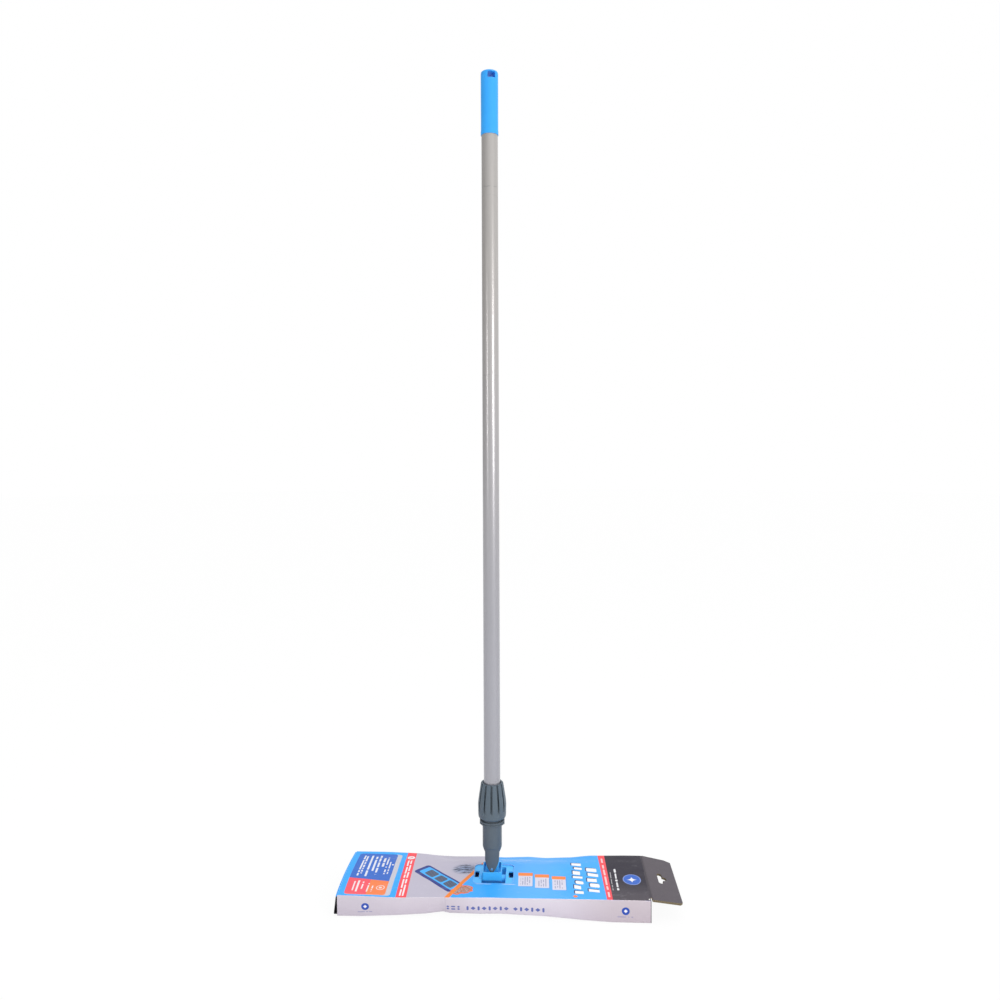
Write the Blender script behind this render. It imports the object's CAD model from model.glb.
# A flat floor mop in a crushed, printed carton sleeve. The head and its pad lie in the carton;
# the swivel, clamp, pole and hanging grip stand up through a cut-out in the carton's top.
# +X runs right along the carton, -Y faces the front (the camera's side), +Z is up, and the
# carton's underside is at z = 0. Lengths are in millimetres up to the point where meshes,
# shader distances and the studio turn them into metres.
import math
from functools import cached_property, partialmethod, reduce

import bmesh
import bpy
from mathutils import Matrix, Vector, noise


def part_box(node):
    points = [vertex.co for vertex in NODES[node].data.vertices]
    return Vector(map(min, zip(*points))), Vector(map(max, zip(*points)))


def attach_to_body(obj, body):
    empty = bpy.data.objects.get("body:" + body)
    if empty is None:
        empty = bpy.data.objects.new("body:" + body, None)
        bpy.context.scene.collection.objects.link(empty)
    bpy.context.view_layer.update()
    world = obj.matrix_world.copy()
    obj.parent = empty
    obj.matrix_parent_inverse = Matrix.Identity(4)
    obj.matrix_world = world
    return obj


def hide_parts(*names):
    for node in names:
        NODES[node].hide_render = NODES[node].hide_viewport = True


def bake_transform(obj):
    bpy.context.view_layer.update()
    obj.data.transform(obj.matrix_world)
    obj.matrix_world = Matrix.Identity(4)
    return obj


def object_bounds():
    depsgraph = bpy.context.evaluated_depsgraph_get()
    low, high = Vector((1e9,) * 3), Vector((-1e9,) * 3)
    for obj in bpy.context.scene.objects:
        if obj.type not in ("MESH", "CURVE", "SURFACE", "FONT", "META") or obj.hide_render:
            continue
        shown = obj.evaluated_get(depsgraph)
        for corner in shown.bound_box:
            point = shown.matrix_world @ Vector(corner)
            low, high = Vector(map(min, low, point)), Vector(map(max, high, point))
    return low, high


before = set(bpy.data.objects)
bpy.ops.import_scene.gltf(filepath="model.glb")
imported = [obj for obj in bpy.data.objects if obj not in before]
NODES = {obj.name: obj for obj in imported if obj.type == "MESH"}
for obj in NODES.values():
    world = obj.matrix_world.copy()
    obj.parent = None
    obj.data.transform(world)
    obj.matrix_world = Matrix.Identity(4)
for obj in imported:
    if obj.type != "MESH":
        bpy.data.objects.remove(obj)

cad_lo, cad_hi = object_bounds()
MM = 0.001

# ---------------------------------------------------------------- carton sizes
sleeve_lo, sleeve_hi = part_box("carton_sleeve")
LEFT, RIGHT = sleeve_lo.x / MM, sleeve_hi.x / MM
HALF_DEPTH = sleeve_hi.y / MM
HEIGHT = sleeve_hi.z / MM
MID_X = (LEFT + RIGHT) / 2.0
SLEEVE_BOARD = 1.5

# the cut-out the swivel stands up through
HOLE_LEFT, HOLE_RIGHT = -27.0, 31.0
HOLE_FRONT, HOLE_BACK = -24.6, 30.3
HOLE_RADIUS = 7.0
HOLE_X, HOLE_Y = (HOLE_LEFT + HOLE_RIGHT) / 2, (HOLE_FRONT + HOLE_BACK) / 2

# How the box is crushed. Columns: x from the carton's middle, amount there.
BACK_SAG = [    # mm the back of the top has sunk
    (-217, 0.5), (-173, 0.5), (-124, 2.0), (-81, 5.3), (-63, 5.9), (-22, 5.2),
    (9, 6.2), (48, 4.7), (73, 6.0), (108, 4.6), (145, 1.2), (217, 0.0)]
FRONT_DROP = [  # mm the front of the top has sunk
    (-217, 0.4), (-136, 2.2), (-69, 0.9), (-3, 0.0), (217, 0.0)]
LEAN = [        # how far the foot of the front wall is pushed in, as a share of the most
    (-219, 0.16), (-185, 0.17), (-135, 0.39), (-94, 0.68), (-69, 1.03), (-61, 0.82),
    (-20, 0.77), (10, 0.84), (73, 0.62), (128, 0.21), (164, 0.02), (216, 0.0)]
FOLD_X = 66.5   # distance left of the middle of the sharp fold in the front wall


def clamp01(t):
    return min(1.0, max(0.0, t))


def smooth(t):
    """Smoothstep from 0 to 1."""
    t = clamp01(t)
    return t * t * (3 - 2 * t)


def table(x, points, eased=True):
    """Reads a table of (x, value), held at its ends."""
    if x <= points[0][0]:
        return points[0][1]
    for (x_low, low), (x_high, high) in zip(points, points[1:]):
        if x <= x_high:
            t = (x - x_low) / (x_high - x_low)
            if eased:
                t = 0.5 * t + 0.5 * smooth(t)
            return low + (high - low) * t
    return points[-1][1]


def hole_distance(x, y):
    """Distance outside the cut-out's rounded outline, negative inside it."""
    over_x = abs(x - HOLE_X) - (HOLE_RIGHT - HOLE_LEFT) / 2 + HOLE_RADIUS
    over_y = abs(y - HOLE_Y) - (HOLE_BACK - HOLE_FRONT) / 2 + HOLE_RADIUS
    outside = math.hypot(max(over_x, 0), max(over_y, 0))
    return outside + min(max(over_x, over_y), 0) - HOLE_RADIUS


def deform(x, y, z, bumpy=True):
    """Where a point of the square box ends up in the crushed carton."""
    along = x - MID_X
    level = clamp01(z / HEIGHT)
    at_back = smooth((y - 30) / 35.0)
    at_front = smooth((-y - 25) / 40.0)
    top = HEIGHT - table(along, BACK_SAG) * at_back - table(along, FRONT_DROP) * at_front
    new_z = z * top / HEIGHT
    # the foot of the front wall is pushed in, and the board under it curls up
    lean = table(along, LEAN, eased=False)
    new_y = y + 10.0 * lean * (1 - level) * smooth((-y - 30) / 35.0)
    new_z += 5.5 * lean * (1 - level) * clamp01((-y - 44) / 21.0) ** 1.6
    # the back wall bulges out where the top has sunk
    bulge = smooth((y - 50) / 15.0) * smooth((170 - abs(along - 10)) / 90.0)
    new_y += 2.4 * math.sin(math.pi * level) * bulge
    # a sharp vertical fold in the front wall
    fold = math.exp(-((along + FOLD_X) / 2.2) ** 2)
    new_y -= 1.5 * fold * (1 - 0.6 * level) * smooth((-y - 60) / 4.0)
    # the open left end bows outward at mid depth
    near_left = smooth((-along - 175) / 42.0)
    new_x = x - 2.3 * near_left * (1 - (y / HALF_DEPTH) ** 2) * level
    if bumpy:
        on_top = smooth((level - 0.9) / 0.1)
        clear = smooth((hole_distance(x, y) - 2.0) / 22.0)
        broad = noise.noise(Vector((along / 46.0, y / 27.0, 3.7)))
        small = noise.noise(Vector((along / 17.0, y / 15.0, 8.1)))
        inland = 1 - smooth((abs(y) - 58) / 7.0)
        new_z += on_top * clear * (0.75 * broad + 0.28 * small) * (0.35 + 0.65 * inland)
        # soft buckles beside the front edge of the cut-out
        buckle = math.exp(-((y + 31.0) / 2.6) ** 2)
        new_z += 0.55 * on_top * buckle * smooth((38 - abs(x - HOLE_X)) / 10.0)
        if y < -HALF_DEPTH + 2:
            ripple = noise.noise(Vector((along / 38.0, z / 16.0, 1.9)))
            new_y += 0.45 * ripple * math.sin(math.pi * level)
    return new_x, new_y, new_z


# ---------------------------------------------------------------- shader graph helpers
class Signal:
    """A node's output. Each operator or method adds the nodes that work out its result."""

    def __init__(self, graph, socket):
        self.graph = graph
        self.socket = socket

    def math(self, operation, *others, clamp=False):
        return self.graph.math(operation, self, *others, clamp=clamp)

    __add__ = partialmethod(math, "ADD")
    __sub__ = partialmethod(math, "SUBTRACT")
    __mul__ = partialmethod(math, "MULTIPLY")
    __truediv__ = partialmethod(math, "DIVIDE")
    __pow__ = partialmethod(math, "POWER")
    __or__ = partialmethod(math, "MAXIMUM")
    __gt__ = partialmethod(math, "GREATER_THAN")
    __lt__ = partialmethod(math, "LESS_THAN")
    __abs__ = partialmethod(math, "ABSOLUTE")
    floor = partialmethod(math, "FLOOR")
    sine = partialmethod(math, "SINE")
    linear = partialmethod(math, "MULTIPLY_ADD")    # linear(slope, offset)

    def __rsub__(self, other):
        return self.graph.math("SUBTRACT", other, self)

    def wave(self, pitch):
        return (self * (2 * math.pi / pitch)).sine()

    def rise(self, start, end, low=0.0, high=1.0, curve="SMOOTHSTEP"):
        """Goes from low to high as the signal goes from start to end."""
        inputs = {"Value": self, "From Min": start, "From Max": end, "To Min": low, "To Max": high}
        return self.graph.node("MapRange", inputs, "Result", interpolation_type=curve)

    def fade(self, start, end):
        return 1.0 - self.rise(start, end)

    def cover(self, soft=0.35):
        """Turns a signed distance into a mask, 1 inside, with an edge soft mm wide."""
        return self.math("MULTIPLY_ADD", -1.0 / soft, 0.5, clamp=True)

    # --- vectors
    def xyz(self):
        split = self.graph.tree.nodes.new("ShaderNodeSeparateXYZ")
        self.graph.put(split.inputs[0], self)
        return [Signal(self.graph, socket) for socket in split.outputs]

    def length(self):
        return self.graph.node("VectorMath", {0: self}, "Value", operation="LENGTH")

    def scale(self, factor):
        return self.graph.node("VectorMath", {0: self, "Scale": factor}, operation="SCALE")

    def turn(self, x, y, degrees):
        """The same plane in a frame centred on (x, y) and turned by degrees."""
        inputs = {"Vector": self - (x, y, 0), "Angle": math.radians(-degrees)}
        return self.graph.node("VectorRotate", inputs, rotation_type="Z_AXIS")

    def noise(self, scale, detail=2.0, rough=0.5):
        inputs = {"Vector": self, "Scale": scale, "Detail": detail, "Roughness": rough}
        return self.graph.node("TexNoise", inputs)

    def white(self):
        return self.graph.node("TexWhiteNoise", {"Vector": self}, "Value", noise_dimensions="3D")

    # --- masks on a plane whose x, y are millimetres
    def past_box(self, x0, x1, y0, y1, radius):
        """Distance past the box's sides, each moved in by the corner radius."""
        centre = ((x0 + x1) / 2, (y0 + y1) / 2, 0)
        return abs(self - centre) - ((x1 - x0) / 2 - radius, (y1 - y0) / 2 - radius, 0)

    def past_rounded(self, x0, x1, y0, y1, radius):
        """Distance outside a rectangle with rounded corners."""
        past = self.past_box(x0, x1, y0, y1, radius)
        return ((past | (0, 0, 0)) * (1, 1, 0)).length() - radius

    def rect(self, x0, x1, y0, y1, radius=0.0, soft=0.35):
        if radius:
            return self.past_rounded(x0, x1, y0, y1, radius).cover(soft)
        past_x, past_y, _ = self.past_box(x0, x1, y0, y1, 0.0).xyz()
        return (past_x | past_y).cover(soft)

    def disc(self, x, y, radius, radius_y=None):
        squash = (1, radius / (radius_y or radius), 0)
        return (((self - (x, y, 0)) * squash).length() - radius).cover()


class Graph:
    """Builds nodes in a node tree."""

    def __init__(self, tree):
        self.tree = tree

    def put(self, socket, value):
        if isinstance(value, Signal):
            self.tree.links.new(value.socket, socket)
        elif socket.type == "RGBA":
            socket.default_value = (*value, 1.0)
        else:
            socket.default_value = value

    def node(self, kind, inputs=(), output=0, **settings):
        new = self.tree.nodes.new("ShaderNode" + kind)
        for name, value in settings.items():
            setattr(new, name, value)
        for key, value in dict(inputs).items():
            self.put(new.inputs[key], value)
        return Signal(self, new.outputs[output])

    def math(self, operation, *operands, clamp=False):
        """A scalar or vector math node, whichever suits the first operand."""
        first = operands[0]
        if isinstance(first, Signal) and first.socket.type == "VECTOR":
            return self.node("VectorMath", enumerate(operands), operation=operation)
        return self.node("Math", enumerate(operands), operation=operation, use_clamp=clamp)

    def vector(self, x, y, z=0.0):
        return self.node("CombineXYZ", {0: x, 1: y, 2: z})

    def mix(self, factor, low, high, blend="MIX"):
        inputs = {0: factor, 6: low, 7: high}
        return self.node("Mix", inputs, 2, data_type="RGBA", blend_type=blend)

    def camera_ray(self):
        return self.node("LightPath", output="Is Camera Ray")


class Material(Graph):
    """A material being built; colour is what has been painted so far."""

    def __init__(self, name):
        self.mat = bpy.data.materials.new(name)
        self.mat.use_nodes = True
        super().__init__(self.mat.node_tree)
        self.tree.nodes.clear()
        self.surface = self.tree.nodes.new("ShaderNodeOutputMaterial").inputs["Surface"]
        self.colour = None

    def rest(self):
        """Millimetres on the undeformed piece, stored on its mesh."""
        return self.node("Attribute", output="Vector", attribute_name="rest")

    @cached_property
    def coords(self):
        return self.tree.nodes.new("ShaderNodeTexCoord").outputs

    @cached_property
    def object_mm(self):
        return Signal(self, self.coords["Object"]).scale(1000.0)

    def paint(self, mask, colour, strength=None):
        if strength is not None:
            mask = mask * strength
        self.colour = self.mix(mask, self.colour, colour)

    def shade(self, mask, low, high):
        """Multiplies the colour by a tint that goes from low to high."""
        tint = self.mix(mask, low, high)
        self.colour = self.mix(1.0, self.colour, tint, blend="MULTIPLY")

    def edge(self, radius):
        """(normal rounded over radius mm, mask that rises on sharp edges)."""
        rounded = self.node("Bevel", {"Radius": radius * MM}, samples=4)
        flat = self.node("NewGeometry", output="Normal")
        inputs = {0: rounded, 1: flat}
        agree = self.node("VectorMath", inputs, "Value", operation="DOT_PRODUCT")
        return rounded, agree.rise(0.985, 0.80, curve="LINEAR")

    def bump(self, height, depth, strength=0.5, normal=None):
        inputs = {"Strength": strength, "Distance": depth * MM, "Height": height}
        if normal is not None:
            inputs["Normal"] = normal
        return self.node("Bump", inputs)

    def principled(self, rough, normal=None, metallic=0.0, spec=0.5, coat=0.0, coat_rough=0.2,
                   sheen=0.0, subsurface=0.0):
        inputs = {"Base Color": self.colour, "Roughness": rough, "Metallic": metallic,
                  "Specular IOR Level": spec, "Coat Weight": coat, "Coat Roughness": coat_rough}
        if sheen:
            inputs.update({"Sheen Weight": sheen, "Sheen Roughness": 0.4})
        if subsurface:
            inputs.update({"Subsurface Weight": subsurface,
                           "Subsurface Radius": (0.002, 0.002, 0.002)})
        if normal is not None:
            inputs["Normal"] = normal
        return self.node("BsdfPrincipled", inputs)

    def finish(self, rough, normal=None, **looks):
        self.put(self.surface, self.principled(rough, normal, **looks))
        return self.mat


def union(*masks):
    return reduce(lambda one, other: one | other, masks)


def scaled(colour, factor):
    return tuple(channel * factor for channel in colour)


# ---------------------------------------------------------------- palette (linear)
SKY = (0.040, 0.372, 0.90)
SKY_EDGE = (0.098, 0.412, 0.90)
LILAC = (0.475, 0.450, 0.545)
RED = (0.86, 0.075, 0.095)
INFO_BLUE = (0.038, 0.140, 0.54)
INFO_RED = (0.84, 0.095, 0.130)
ORANGE = (0.84, 0.215, 0.075)
STRIPE = (0.84, 0.225, 0.030)
WHITE = (0.80, 0.80, 0.83)
STRIP_GREY = (0.52, 0.52, 0.59)
NAVY = (0.030, 0.045, 0.23)
CHARCOAL = (0.022, 0.018, 0.032)
DISC_BLUE = (0.035, 0.125, 0.52)
WALL = (0.565, 0.512, 0.588)
NEUTRAL = (1.0, 1.0, 1.0)


# ---------------------------------------------------------------- carton materials
def board_bump(mat, place, extra=None, strength=1.0):
    """Fine paper tooth plus faint flutes telegraphing through the printed face."""
    tooth = place.noise(2.2, detail=3.0, rough=0.6)
    flute = place.xyz()[0].wave(3.2)
    height = tooth * 0.10 + flute * 0.035 + place.noise(0.055) * 1.3
    if extra is not None:
        height = height + extra
    return mat.bump(height, depth=0.5, strength=0.5 * strength)


def fold_wear(distance, place, width):
    """Broken, whitened scuff along a fold, out to width mm from it."""
    broken = place.noise(0.35, detail=3.0, rough=0.7).rise(0.46, 0.62)
    return distance.fade(0.0, width) * broken.linear(0.8, 0.12)


def printed(name, up_axis):
    """A material with face, a plane of card millimetres: x from the middle, y on up_axis."""
    mat = Material(name)
    mat.place = mat.rest()
    axes = mat.place.xyz()
    mat.x, mat.y = axes[0], axes[up_axis]
    mat.face = mat.vector(mat.x, mat.y)
    return mat


def leaning(mat, slope, offset):
    """Distance right of the line x = slope * y + offset."""
    return mat.x - mat.y.linear(slope, offset)


def dashes(mat, seed, pitch=2.6):
    """Cuts a bar at irregular places, so that it reads as a row of pretend text."""
    cell = (mat.y / pitch + seed * 0.37).floor()
    return mat.vector(seed, cell, 3.0).white() > 0.22


def text_row(mat, x, top, bottom, half=0.95):
    return mat.face.rect(x - half, x + half, bottom, top, soft=0.5) * dashes(mat, x)


def print_splash(mat):
    """A loose grey splash on the lilac field by the cut-out."""
    spot = mat.face.turn(-45.0, 14.0, 12.0)
    blot = (spot * (0.32, 1.6, 1.0)).noise(0.20, detail=4.0, rough=0.72).rise(0.44, 0.56)
    region = (spot * (1.0, 1.25, 0)).length().fade(4.0, 24.0)
    mat.paint(region, (0.17, 0.27, 0.47), strength=0.70)
    mat.paint(blot * region.rise(0.05, 0.5), (0.016, 0.020, 0.040), strength=0.95)
    fleck = (spot * (0.8, 1.0, 1.0)).noise(0.30, detail=3.0, rough=0.75).rise(0.60, 0.66)
    mat.paint(fleck * region.rise(0.0, 0.4), (0.50, 0.52, 0.62), strength=0.6)


def print_pad_picture(mat):
    """The slanted mop pad: a navy body, a blue face and three ribbed lumps."""
    pad = mat.face.turn(-81.0, -13.0, -44.7)
    mat.paint(pad.rect(-41, 41, -15.0, 13.5, radius=5.0), NAVY)
    mat.paint(pad.rect(-35.0, 38.0, -9.3, 10.6, radius=2.5), (0.06, 0.40, 0.86))
    ribs = pad.xyz()[0].wave(3.0) > 0.25
    ends = ((-26, -8), (-4, 12), (16, 33))
    lumps = union(*(pad.rect(x0, x1, -6.4, 7.8, radius=2.5) for x0, x1 in ends))
    mat.paint(lumps, (0.045, 0.065, 0.125))
    mat.paint(lumps * ribs, (0.26, 0.29, 0.36), strength=0.42)


def print_sky(mat):
    """The sky-blue field right of the slanted stripe, a puff of loops, and the stripe."""
    from_stripe = leaning(mat, 0.47, -34.0)
    far = mat.x.rise(-15.0, 50.0) * (1.0 - mat.x.rise(65.0, 120.0) * 0.75)
    mat.paint((from_stripe * -1.0).cover(0.5), mat.mix(far, SKY, SKY_EDGE))

    # the puff is two joined blobs with a wavering edge
    squash = (1.0, 1.22, 0)
    spot = mat.face.turn(-42.0, -43.0, 8.0)
    wobble = mat.face.noise(0.20).linear(7.0, -3.5)
    large = ((spot * squash).length() - 12.6) + wobble
    small = ((mat.face - (-52.0, -48.5, 0.0)).length() - 8.6) + wobble
    puff = large.math("MINIMUM", small)
    curl = (((spot * squash).length() + wobble) * 1.9).sine()
    mottle = mat.face.noise(0.28, detail=4.0, rough=0.7).rise(0.40, 0.60)
    colour = mat.mix(mottle, (0.44, 0.125, 0.055), (0.42, 0.36, 0.36))
    colour = mat.mix(curl.rise(0.3, 0.8) * 0.45, colour, (0.17, 0.10, 0.09))
    colour = mat.mix(puff.rise(-3.2, -1.6), colour, (0.76, 0.155, 0.050))
    mat.paint(puff.cover(0.7), colour)

    half_width = mat.y.linear(-0.008, 3.1)
    mat.paint((abs(from_stripe) - half_width).cover(0.5), STRIPE)


# x, top, bottom and half width of each row of pretend text on the info card
INFO_ROWS = (
    (-199.5, 50, -10, 1.15), (-195.6, 48, -4, 1.15), (-188.4, 50, -13, 1.4),
    (-181.5, 47, 4, 1.4), (-175.5, 51, -6, 1.4), (-168.5, 44, 14, 1.6),
    (-163, 48, -5, 1.1), (-158.2, 30, -4, 0.9), (-199.0, -26, -52, 0.95),
    (-193.7, -24, -53, 1.3), (-187.2, -27, -46, 1.0), (-178.8, -30, -53, 0.95),
    (-172.6, -30, -53, 0.95))


def print_info_card(mat):
    """The blue margin at the left and the card of pretend text on it."""
    face = mat.face
    mat.paint((mat.x + 133.0).cover(), SKY)
    mat.paint(face.rect(-209, -144.5, -61, 56.5, radius=5.0), STRIP_GREY)
    body = face.rect(-209, -151.5, -60, 57, radius=4.5)
    # below a slanted line the card is orange at the left and red at the right
    below = (mat.y + mat.x.linear(0.167, 50.3)).cover(0.4)
    lower = mat.mix((mat.x + 178.5).cover(0.4), ORANGE, INFO_RED)
    mat.paint(body, mat.mix(below, INFO_BLUE, lower))
    mat.paint(face.disc(-154.0, 22.0, 1.5), WHITE)
    mat.paint(union(*(text_row(mat, *row) for row in INFO_ROWS)), WHITE, strength=0.88)
    # a ring round a small square
    ring = face.disc(-161, -42, 6.2) - face.disc(-161, -42, 4.9)
    square = face.rect(-163.2, -158.8, -44.2, -39.8, radius=1.0)
    mat.paint(ring | square * 1.0, WHITE, strength=0.7)


BAND_SLOPE = -0.0164
# x at y = 0 of each line of dashes on the left band, and each dash's top and bottom
BAND_DASHES = (
    (-131.6, ((37, 20), (17, -3), (-6, -15), (-18.5, -41), (-44.5, -60))),
    (-127.4, ((37, 26), (23, 5), (2, -15), (-18.5, -30), (-33, -60))))


def print_left_band(mat):
    """The red band with a white roundel and two lines of dashes."""
    across = abs(leaning(mat, BAND_SLOPE, -129.55))
    mat.paint((across - mat.y.linear(-0.005, 7.15)).cover(0.4), RED)
    mat.paint(mat.face.disc(-130.2, 47, 5.6), WHITE)
    tick = mat.face.turn(-130.2, 47.0, 35.0)
    mat.paint(tick.rect(-3.4, 3.4, -1.0, 1.0, radius=0.8), RED)
    for line_x, spans in BAND_DASHES:
        for top, bottom in spans:
            x = line_x + BAND_SLOPE * (top + bottom) / 2
            dash = mat.face.rect(x - 1.15, x + 1.15, bottom, top, radius=1.1)
            mat.paint(dash, WHITE, strength=0.92)


# left, right, top, bottom of each label
LABELS = ((34, 54.4, 5.5, -32), (58, 78, 1.0, -36), (82.6, 101.9, -3, -40.6))


def print_labels(mat):
    """Three grey labels with orange heads, soft shadows and bars of pretend text."""
    face = mat.face
    for left, right, top, bottom in LABELS:
        shadow = face.rect(left + 0.8, right + 1.2, bottom - 1.2, top - 1, radius=1.2, soft=1.5)
        mat.paint(shadow, (0.03, 0.16, 0.45), strength=0.35)
        mat.paint(face.rect(left, right, bottom, top, radius=1.2), (0.63, 0.62, 0.73))
        head = face.rect(left - 0.5, right + 0.2, top - 8.5, top + 0.3, radius=0.8)
        mat.paint(head, (0.86, 0.235, 0.060))
        bars = mat.x.wave(3.3) > 0.1
        area = face.rect(left + 3.2, right - 3.2, bottom + 4, top - 11.5)
        cell = mat.vector((mat.x / 3.3).floor(), (mat.y / 3.4).floor(), 11.0)
        mat.paint(area * bars * (cell.white() > 0.2), (0.19, 0.21, 0.36), strength=0.62)


# The two lines of headline blocks: left, right, trim at each block's top, the y marks between
# cells, then for each block its trim at the bottom, left inset and right inset.
HEADLINE = (
    (112.0, 127.0, 1.3, (40.0, 27.5, 15.0, 1.5, -12.0, -25.5, -39.0, -53.0),
     (1.2, 1.2, 1.2, 4.0, 1.2, 1.2, 1.2),
     (0.0, 3.0, 1.0, 0.5, 4.0, 1.5, 2.0),
     (1.0, 0.0, 3.5, 0.5, 0.0, 4.0, 1.0)),
    (133.0, 149.5, 1.4, (25.0, 10.5, -4.0, -18.5, -33.5, -48.0),
     (1.4, 1.4, 1.4, 1.4, 1.4),
     (0.0, 1.5, 0.0, 3.0, 0.5),
     (1.5, 0.0, 3.0, 0.0, 1.0)))
BLOCK_FILL = (0.86, 0.62, 0.92, 0.70, 0.80)     # share of its cell a block fills, in turn
BLOCK_RADIUS = (1.2, 2.6, 0.8)                  # corner radii, in turn


def print_headline(mat):
    """An abstract headline: leaning slabs over a dark shadow, and an orange lozenge."""
    blocks = []
    for left, right, top_trim, marks, *columns in HEADLINE:
        for top, bottom, trim, inset_l, inset_r in zip(marks, marks[1:], *columns):
            blocks.append((left + inset_l, right - inset_r, bottom + trim, top - top_trim))
    shadows, faces = [], []
    for k, (left, right, bottom, top) in enumerate(blocks):
        lean = 0.10 + 0.05 * (k % 3)
        slant = mat.vector(mat.x, mat.y + (mat.x - (left + right) / 2) * lean)
        mid = (bottom + top) / 2
        half = (top - bottom) * BLOCK_FILL[k % 5] / 2
        radius = BLOCK_RADIUS[k % 3]
        shadows.append(slant.rect(left - 1.6, right - 0.8, mid - half - 0.2, mid + half + 1.5,
                                  radius))
        faces.append(slant.rect(left, right, mid - half, mid + half, radius))
    mat.paint(union(*shadows), (0.030, 0.055, 0.16))
    mat.paint(union(*faces), (0.83, 0.83, 0.86))
    lozenge = mat.face.turn(114.0, -57.0, 45.0)
    mat.paint(lozenge.rect(-2.8, 2.8, -2.8, 2.8, radius=0.6), (0.84, 0.22, 0.045))


# top, bottom and half width of each dash on the charcoal field
DARK_DASHES = ((22, 11, 1.5), (8.5, -6, 1.1), (-8.5, -14, 1.7), (-16.5, -31, 1.2),
               (-33.5, -40, 1.5))
DARK_DASH_X = 174.8
DISC_X, DISC_Y = 197.0, -8.5


def print_charcoal_end(mat):
    """The charcoal field at the right with its red band, dashes and blue disc."""
    face = mat.face
    from_band = leaning(mat, -0.0242, 159.4)
    scuffed = mat.mix(mat.y.rise(-10.0, -60.0), CHARCOAL, (0.072, 0.062, 0.077))
    mat.paint((from_band * -1.0).cover(0.4), scuffed)
    mat.paint((abs(from_band) - mat.y.linear(0.008, 4.5)).cover(0.4), RED)
    line = (abs(from_band) - 1.3).cover(0.5) * face.rect(150, 170, -58, 56)
    mat.paint(line * dashes(mat, 41.0, pitch=3.4), WHITE, strength=0.62)
    for top, bottom, half in DARK_DASHES:
        dash = face.rect(DARK_DASH_X - half, DARK_DASH_X + half, bottom, top, radius=half)
        mat.paint(dash, WHITE, strength=0.88)
    mat.paint(text_row(mat, 167.6, 12, -40, half=0.6), WHITE, strength=0.45)
    mat.paint(face.disc(DISC_X, DISC_Y, 12.9, 14.9), (0.20, 0.28, 0.60))
    mat.paint(face.disc(DISC_X, DISC_Y, 11.6, 13.5), DISC_BLUE)
    # four-point sparkle in the disc
    x, y, _ = abs(face - (DISC_X, DISC_Y, 0)).xyz()
    mat.paint((x ** 0.55 + y ** 0.55 - 3.15).cover(), WHITE)


def wear_card_top(mat):
    """Ages the top print; returns the masks of the worn folds and of the wrinkles."""
    x, y, face, place = mat.x, mat.y, mat.face, mat.place
    from_back = HALF_DEPTH - y
    folds = union(fold_wear(y + HALF_DEPTH, place, width=1.3),
                  fold_wear(from_back, place, width=0.9) * 0.8,
                  fold_wear(abs(x + (RIGHT - LEFT) / 2), place, width=0.8))
    # wavering wrinkle lines: two stretches before the cut-out, two lines behind it
    waver = face.noise(0.12).linear(6.0, -3.0)
    before = abs((y + 28.2) + waver * 0.5).fade(0.0, 1.5)
    before = before * (face.rect(-26, -5, -33, -23, radius=2.0, soft=4.0)
                       | face.rect(12, 29, -33, -23, radius=2.0, soft=4.0))
    far = abs(x.linear(0.06, -53.5) + (y + waver)).fade(0.0, 1.7)
    far = far * face.rect(6, 52, 42, 62, radius=2.0, soft=6.0) * 0.9
    near = abs(x.linear(0.10, -48.0) + (y + waver * 1.3)).fade(0.0, 1.4)
    near = near * face.rect(8, 46, 36, 56, radius=2.0, soft=6.0) * 0.7
    wrinkles = union(before, far, near)
    mat.paint(wrinkles, (0.66, 0.72, 0.84), strength=0.85)
    # darker dents before the cut-out
    dents = (face * (0.6, 2.0, 1)).noise(0.22).rise(0.52, 0.62)
    mat.paint(face.rect(-30, 34, -36, -24, radius=3.0, soft=6.0) * dents,
              (0.07, 0.28, 0.66), strength=0.20)
    # print torn off along the back fold
    torn = from_back.fade(0.7, 1.7) * face.rect(-96, -27, 55, 75, radius=2.0, soft=4.0)
    mat.paint(torn * place.noise(0.25, detail=3.0).rise(0.36, 0.52),
              (0.20, 0.13, 0.085), strength=0.85)
    # the cut board shows pale in the lip of the cut-out
    from_hole = face.past_rounded(HOLE_LEFT - MID_X, HOLE_RIGHT - MID_X, HOLE_FRONT, HOLE_BACK,
                                  HOLE_RADIUS)
    mat.paint(from_hole.fade(0.0, 0.7), (0.60, 0.72, 0.90), strength=0.35)
    mat.paint(folds, (0.80, 0.78, 0.80), strength=0.8)
    # handling rub and slow drift of the ink
    rub = (place * (1, 1.6, 1)).noise(0.05, detail=5.0, rough=0.72).rise(0.56, 0.72)
    mat.paint(rub, (0.85, 0.86, 0.9), strength=0.055)
    mat.shade(place.noise(0.02), (0.95, 0.955, 0.96), (1.05, 1.045, 1.04))
    return folds, wrinkles


def card_top():
    mat = printed("card_top_print", up_axis=1)
    mat.colour = LILAC
    print_splash(mat)
    print_pad_picture(mat)
    print_sky(mat)
    print_info_card(mat)
    print_left_band(mat)
    print_labels(mat)
    print_headline(mat)
    print_charcoal_end(mat)
    folds, wrinkles = wear_card_top(mat)
    rough = mat.place.noise(0.09, detail=3.0).linear(0.14, 0.30) + folds * 0.3
    normal = board_bump(mat, mat.place, extra=wrinkles * 0.35)
    return mat.finish(rough, normal, coat=0.03, coat_rough=0.3, spec=0.16)


# disc x and y, then left, right and y of the caption line under it
ROUNDELS = ((-178.3, 15.0, -190, -168, 7.0), (182.4, 16.0, 171, 192.6, 8.0))
# left, right and number of marks in each group on the side walls
MARK_GROUPS = ((-67, -44.5, 3), (-39.5, 22, 8), (27, 73.5, 6))


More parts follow.
